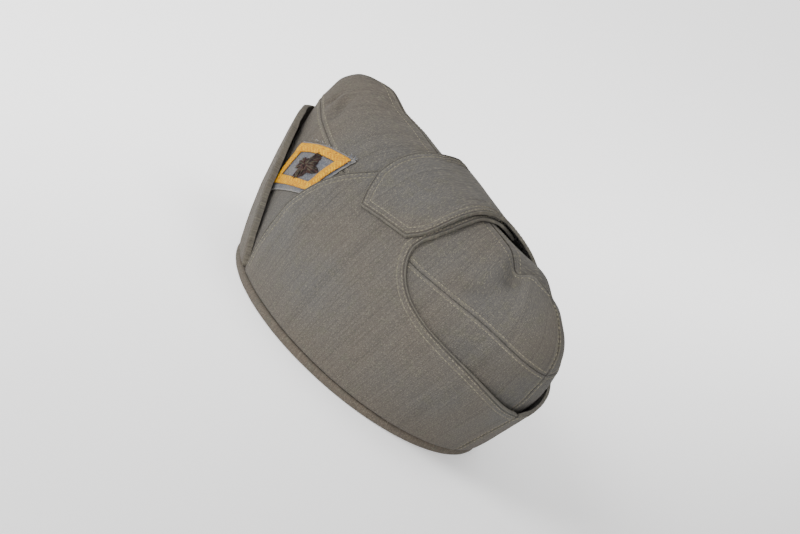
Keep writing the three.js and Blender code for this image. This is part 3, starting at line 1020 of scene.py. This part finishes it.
def rolled_rim():
    """The rolled hem around the opening, flat underneath"""
    ring, tube = 0.09, 0.003
    piece = start(
        bpy.ops.mesh.primitive_torus_add,
        "rolled_rim",
        major_segments=240,
        minor_segments=16,
        major_radius=ring,
        minor_radius=tube,
        generate_uvs=False,
    )
    mesh = piece.data
    x, y, z = vertex_places(mesh).T
    section = np.arctan2(z, np.hypot(x, y) - ring)
    around = np.degrees(np.arctan2(x, y))
    side, around = np.where(around < 0, -1.0, 1.0), np.abs(around)
    base = crown_point(side, around, np.zeros(around.shape))
    normal = crown_normal(side, around, np.zeros(around.shape))
    reach, rise = (np.sign(s) * np.abs(s) ** RIM_SQUARE for s in (np.cos(section), np.sin(section)))
    uneven = waves(base, *RIM_WAVES) * (reach > 0)
    place = base + normal * (RIM_MIDDLE + RIM_REACH * reach + uneven)[:, None]
    place[:, 2] = RIM_HEIGHT / 2 * (1 + rise)
    mesh.vertices.foreach_set("co", (place * MM).ravel())
    store(mesh, "edge", np.full(len(place), FAR))
    store(mesh, "seam", np.full(len(place), FAR))
    store_chart(mesh, np.stack([around * CHART_DEGREE, place[:, 2] + reach * 3], axis=-1))
    pick(piece)
    edit(lambda: bpy.ops.mesh.normals_make_consistent(inside=False))
    smooth(piece)
    return piece


dress(rolled_rim(), wool_rim, "twill_rim", "rim_band")


# Patch, braid and embroidery on the left front; u and v run over the patch of the part's source
def patch_point(u, v, distance):
    a, b = PATCH_CORNERS["around"], PATCH_CORNERS["up"]
    around = mix(mix(a[0], a[1], u), mix(a[3], a[2], u), v)
    up = mix(mix(b[0], b[1], u), mix(b[3], b[2], u), v)
    return on_crown(1, around, up, distance)


def patch_place(u, v):
    ragged = waves(np.stack([u * 40, v * 40, 0 * u], -1), *PATCH_WAVES)
    border = np.maximum(np.abs(u - 0.5), np.abs(v - 0.5)) * 2
    spread = 1 + ragged * ease(0.8, 1, border) * 2.2
    x, y = 0.5 + (u - 0.5) * spread, 0.5 + (v - 0.5) * spread
    top = mix(*PATCH_TOP, ease(0.05, 0.6, u))
    x, y = mix(*PATCH_SIDES, x), mix(PATCH_FOOT, top, y)
    point, normal = patch_point(x, y, PATCH_INSIDE + PATCH_CLOTH)
    return point, normal, np.stack([u, v], -1) * PATCH_LENGTH


even = np.linspace(0, 1, 37)
patch = sheet("patch_ground", even, even, patch_place, PATCH_CLOTH, free="flbt")
dress(patch, patch_wool(), "patch_blue", "badge_cloth")


def braid_strip(k):
    """One side of the braid frame, whose end lies on the start of the next"""
    corners = np.stack([BRAID_CORNERS["u"], BRAID_CORNERS["v"]], axis=-1)
    a, b = corners[k], corners[(k + 1) % 4]
    length = np.linalg.norm(b - a)
    along = (b - a) / length
    across = np.array([along[1], -along[0]])
    bow = BRAID_BOW if k == 2 else 0

    def place(u, v):
        wobble = waves(np.stack([u * 30, v * 0 + k * 9, u * 0], -1), *BRAID_WAVES)
        run = mix(-BRAID_HALF * 0.96, length + BRAID_HALF * 0.9, u)
        off = (v - 0.5) * 2 * BRAID_HALF + wobble + bow * np.sin(np.pi * u)
        x, y = (a[i] + along[i] * run + across[i] * off for i in range(2))
        over = BRAID_OVERLAP * ease(0.8, 1, u)
        full = BRAID_FULLNESS * np.sqrt(np.clip(1 - (2 * v - 1) ** 2, 0, 1))
        point, normal = patch_point(x, y, BRAID_INSIDE + BRAID_CLOTH + over + full)
        return point, normal, np.stack([u * BRAID_LENGTH, v * 2 * BRAID_MIDDLE], -1)

    us, vs = np.linspace(0, 1, 33), np.linspace(0, 1, 9)
    return sheet(f"braid_strip_{k}", us, vs, place, BRAID_CLOTH)


strips = [braid_strip(k) for k in range(4)]
pick(strips[0])
for strip in strips[1:]:
    strip.select_set(True)
bpy.ops.object.join()
strips[0].name = strips[0].data.name = "braid_frame"
dress(strips[0], gold_braid(), "braid_yellow", "badge_braid")


def link_object(name, data):
    thing = bpy.data.objects.new(name, data)
    bpy.context.collection.objects.link(thing)
    return thing


def threads(name, paths, thickness, material, slot):
    """Loose or laid threads, each a smooth tube along its path, as one mesh"""
    data = bpy.data.curves.new(name, "CURVE")
    data.dimensions = "3D"
    data.bevel_depth = thickness * MM / 2
    data.bevel_resolution = 1
    data.resolution_u = 3
    data.use_fill_caps = True
    for path in paths:
        line = data.splines.new("POLY")
        line.points.add(len(path) - 1)
        corners = np.concatenate([path * MM, np.ones((len(path), 1))], axis=1)
        line.points.foreach_set("co", corners.ravel())
    pick(link_object(name, data))
    bpy.ops.object.convert(target="MESH")
    piece = bpy.context.active_object
    smooth(piece)
    dress(piece, material, slot)


def motif_radius(turn):
    """A generic crumpled outline"""
    lobes = 0.3 * np.cos(4 * turn + 0.6) + 0.12 * np.cos(7 * turn + 1) + 0.06 * np.cos(11 * turn)
    return MOTIF_RADIUS * (1 + lobes)


def motif_point(radius, turn, rise):
    x = MOTIF_CENTRE[0] + radius * np.cos(turn)
    y = MOTIF_CENTRE[1] + radius * np.sin(turn)
    return patch_point(x, y, BRAID_INSIDE + rise)


def motif_ground(u, v):
    turn = 2 * np.pi * u
    crumple = 0.35 * np.sin(3 * turn + 5 * v) * v * (1 - v) * 3
    rise = 0.35 + MOTIF_RISE * (1 - v**2) + crumple
    point, normal = motif_point(motif_radius(turn) * v, turn, rise)
    return point, normal, np.stack([turn * 6, v * 6], -1)


def motif_threads(moss):
    """The laid threads, from near the middle outwards; about a third of them are moss green"""
    paths = []
    for k in range(MOTIF_THREADS):
        if (k * 7 % 16 < 5) != moss:
            continue
        turn = 2 * np.pi * k / MOTIF_THREADS + RANDOM.uniform(-0.06, 0.06)
        inner, outer = RANDOM.uniform(0.05, 0.5), RANDOM.uniform(0.88, 1.06)
        v = np.linspace(inner, outer, 7)
        bend = turn + RANDOM.uniform(-0.3, 0.3) * (v - inner)
        arch = 0.5 * np.sin(np.pi * (v - inner) / (outer - inner))
        rise = 0.5 + MOTIF_RISE * (1 - np.minimum(v, 1) ** 2) + arch
        height = rise + RANDOM.uniform(-0.15, 0.3)
        paths.append(motif_point(motif_radius(bend) * v, bend, height)[0])
    return paths


dark_thread = thread("purple_brown_thread", (0.042, 0.021, 0.017), (0.014, 0.008, 0.008))
moss_thread = thread("grey_green_thread", (0.06, 0.056, 0.036), (0.025, 0.023, 0.016))
ring, spokes = np.linspace(0, 1, 49), np.linspace(0.04, 1, 10)
ground = sheet("embroidery_ground", ring, spokes, motif_ground, 0.5)
pick(ground)
edit(lambda: bpy.ops.mesh.remove_doubles(threshold=0.00012))
dress(ground, dark_thread, "motif_brown", "badge_motif")
threads("embroidery_dark", motif_threads(False), 0.62, dark_thread, "motif_brown")
threads("embroidery_moss", motif_threads(True), 0.6, moss_thread, "motif_brown")


def frayed():
    """Threads that come out of the patch's cut edge, most of them at one upper corner"""
    paths = []
    for k in range(FRAYED_THREADS):
        corner = k < FRAYED_AT_CORNER
        u = RANDOM.uniform(0.9, 1.0) if corner else RANDOM.uniform(0.1, 1.0)
        v = 1.0 if not corner or k % 2 else RANDOM.uniform(0.88, 1.0)
        u = 1.0 if corner and k % 2 == 0 else u
        reach = RANDOM.uniform(0.035, 0.075) if corner else RANDOM.uniform(0.012, 0.03)
        turn = RANDOM.uniform(0.2, 1.3) if corner else RANDOM.uniform(1.2, 1.9)
        t = np.linspace(0, 1, 6)
        bend = turn + RANDOM.uniform(-0.9, 0.9) * t
        x, y = u - 0.02 + reach * t * np.cos(bend), v - 0.02 + reach * t * np.sin(bend)
        paths.append(patch_point(x, y, PATCH_INSIDE + 0.6 + RANDOM.uniform(0.2, 1.1) * t)[0])
    return paths


frayed_paths = frayed()
frayed_wool = thread("frayed_wool", (0.24, 0.225, 0.205), (0.1, 0.105, 0.125))
threads("frayed_threads", frayed_paths, 0.26, frayed_wool, "patch_blue")


# Stitching: one stitch is modelled and copied along every sewn line
def one_stitch():
    sphere = bpy.ops.mesh.primitive_uv_sphere_add
    piece = start(sphere, "stitch", segments=6, ring_count=4, radius=0.5)
    middle = {"center_override": (0, 0, 0)}
    edit(
        lambda: bpy.ops.transform.rotate(value=math.pi / 2, orient_axis="Y", **middle),
        lambda: bpy.ops.transform.resize(value=[s * MM for s in STITCH_SIZE]),
    )
    corners = vertex_places(piece.data)
    faces = [tuple(face.vertices) for face in piece.data.polygons]
    bpy.data.objects.remove(piece)
    return corners, faces


STITCH, STITCH_FACES = one_stitch()
stitch_thread = thread("stitch_thread", (0.19, 0.172, 0.12), (0.115, 0.104, 0.074))


def stitches(name, piece, lines):
    """Stitches that lie on a piece along the given lines of points"""
    tree = BVHTree.FromObject(piece, bpy.context.evaluated_depsgraph_get())
    corners, faces = [], []
    for line in lines:
        walked = walk(line)
        count = int(walked[-1] / STITCH_PITCH)
        for middle in (np.arange(count) + 0.5) * walked[-1] / max(count, 1):
            reach = [middle - STITCH_REACH, middle + STITCH_REACH]
            ends = np.stack([np.interp(reach, walked, line[:, i]) for i in range(3)], axis=1)
            spot, normal, _, _ = tree.find_nearest(Vector(ends.mean(axis=0) * MM))
            run = Vector(ends[1] - ends[0])
            run = (run - normal * run.dot(normal)).normalized()
            sway = RANDOM.uniform(-STITCH_SWAY, STITCH_SWAY)
            lean = Matrix.Rotation(sway, 3, normal) @ run
            turn = np.array(Matrix((lean, normal.cross(lean), normal)))
            first = len(corners) * len(STITCH)
            faces += [tuple(i + first for i in face) for face in STITCH_FACES]
            corners.append(STITCH @ turn + np.array(spot + normal * (STITCH_LIFT * MM)))
    mesh = bpy.data.meshes.new(name)
    mesh.from_pydata(np.concatenate(corners).tolist(), [], faces)
    made = link_object(name, mesh)
    smooth(made)
    dress(made, stitch_thread, "twill")


def inset(border, normals, distance, inner_point):
    """A line at a distance inside a border, where it isn't nearer to another part of it"""
    steps = np.gradient(border, axis=0)
    steps /= np.linalg.norm(steps, axis=1, keepdims=True) + 1e-12
    inward = np.cross(normals, steps)
    if np.sum((inner_point - border) * inward) < 0:
        inward = -inward
    line = border + inward * distance
    near = from_lines(line, border[:-1], border[1:])
    return line[near > distance - 0.25]


def flap_borders(side, lines, stand):
    """The rows of stitches along a flap's free edges"""
    front = flap_face(side, lines, stand, np.zeros(90), np.linspace(0.03, 1, 90))
    top = flap_face(side, lines, stand, np.linspace(0, 1, 700)[1:], np.ones(699))
    border, normals = (np.concatenate([front[i], top[i]]) for i in range(2))
    inner_point = flap_face(side, lines, stand, np.array([0.5]), np.array([0.2]))[0][0]
    return [inset(border, normals, distance, inner_point) for distance in EDGE_ROWS]


for hand, side in SIDES:
    _, lines, stand, _ = FLAPS[hand]
    rows = flap_borders(side, lines, stand)
    v = np.linspace(0.06, 0.97, 120)
    around, up = lines(np.ones(120), v)
    outside = stand(around, up, v) + FLAP_CLOTH
    back = on_crown(side, around + SEAM_ROW / BACK_DEGREE, up, outside, "flap")[0]
    stitches(f"flap_stitches_{hand}", panels[f"flap_{hand}"], [*rows, back])

    around = np.linspace(2, 178, 500)
    shift = SEAM_ROW / CLOTH_UP
    upper = on_crown(side, around, seam_height(around) + shift, CROWN_FACE)[0]
    lower = on_crown(side, around, seam_height(around) - shift, CROWN_FACE)[0]
    crest = on_crown(side, np.linspace(4, 176, 500), np.full(500, CREST_ROW), CROWN_FACE)[0]
    up = np.linspace(0.1, 0.98, 240)
    back = on_crown(side, np.full(240, BACK_ROW), up, CROWN_FACE)[0]
    high, low = back[up > 0.74], back[up < 0.66]
    stitches(f"crown_stitches_{hand}", panels[f"upper_{hand}"], [upper, crest, high])
    stitches(f"side_stitches_{hand}", panels[f"lower_{hand}"], [lower, low])

# Floor, light and camera
floor = start(bpy.ops.mesh.primitive_plane_add, "floor", size=FLOOR_SIZE)
paper = Finish("pale_floor_painted_light")
far = paper.between(paper.parts(paper.place(1))["Y"], *FLOOR_FADE)
painted_glow, painted_shade = (paper.blend(far, (a, a, a), (b, b, b)) for a, b in (FLOOR_PAINTED_GLOW, FLOOR_PAINTED_SHADE))
# The floor's emission is painted light, brighter towards the cap's front; its darker colour behind
# the cap is painted shade
lit = {"Roughness": 0.9, "Emission Color": painted_glow, "Emission Strength": 1.1}
floor.data.materials.append(paper.surface(painted_shade, paper.cloud(40), 0.02, lit))

aim = Vector((0, RIM_SHIFT * MM, 0))
flat_away = Vector((math.cos(AZIMUTH), math.sin(AZIMUTH), 0))
away = flat_away * math.cos(ELEVATION) + Vector((0, 0, math.sin(ELEVATION)))
level = Vector((-math.sin(AZIMUTH), math.cos(AZIMUTH), 0))
upward = away.cross(level)
right = level * math.cos(ROLL) + upward * math.sin(ROLL)
above = upward * math.cos(ROLL) - level * math.sin(ROLL)
to_right = (PICTURE[0] / 2 - MIDDLE[0]) / FOCUS
to_above = (MIDDLE[1] - PICTURE[1] / 2) / FOCUS
look = (right * to_right + above * to_above - away).normalized()
sideways = look.cross(above).normalized()
turned = Matrix((sideways, sideways.cross(look), -look)).transposed().to_4x4()

camera = link_object("photo_camera", bpy.data.cameras.new("photo_camera"))
camera.data.sensor_width = SENSOR
camera.data.lens = FOCUS / PICTURE[0] * SENSOR
camera.matrix_world = Matrix.Translation(aim + away * DISTANCE) @ turned
bpy.context.scene.camera = camera

# Each lamp's direction, distance and size in metres, and power in watts
LAMPS = (
    ("soft_key", above * 0.75 + away * 0.55 - right * 0.3, 1.9, 1.0, 34),
    ("soft_fill", away * 0.85 - right * 0.5 - above * 0.15, 2.2, 1.6, 34),
    ("soft_low", Vector((0.78, 0.6, 0.2)), 1.7, 0.8, 20),
    ("soft_back", above * 0.5 + right * 0.9 + Vector((0, 0, 0.5)), 2.2, 1.2, 16),
)
for name, toward, distance, size, power in LAMPS:
    toward = toward.normalized()
    lamp = link_object(name, bpy.data.lights.new(name, "AREA"))
    lamp.data.shape = "DISK"
    lamp.data.size = size
    lamp.data.energy = power
    facing = toward.to_track_quat("Z", "Y").to_matrix().to_4x4()
    lamp.matrix_world = Matrix.Translation(aim + toward * distance) @ facing

sky = bpy.data.worlds.new("studio")
sky.use_nodes = True
backdrop = sky.node_tree.nodes["Background"]
backdrop.inputs["Color"].default_value = SKY_COLOUR
backdrop.inputs["Strength"].default_value = SKY_STRENGTH
bpy.context.scene.world = sky
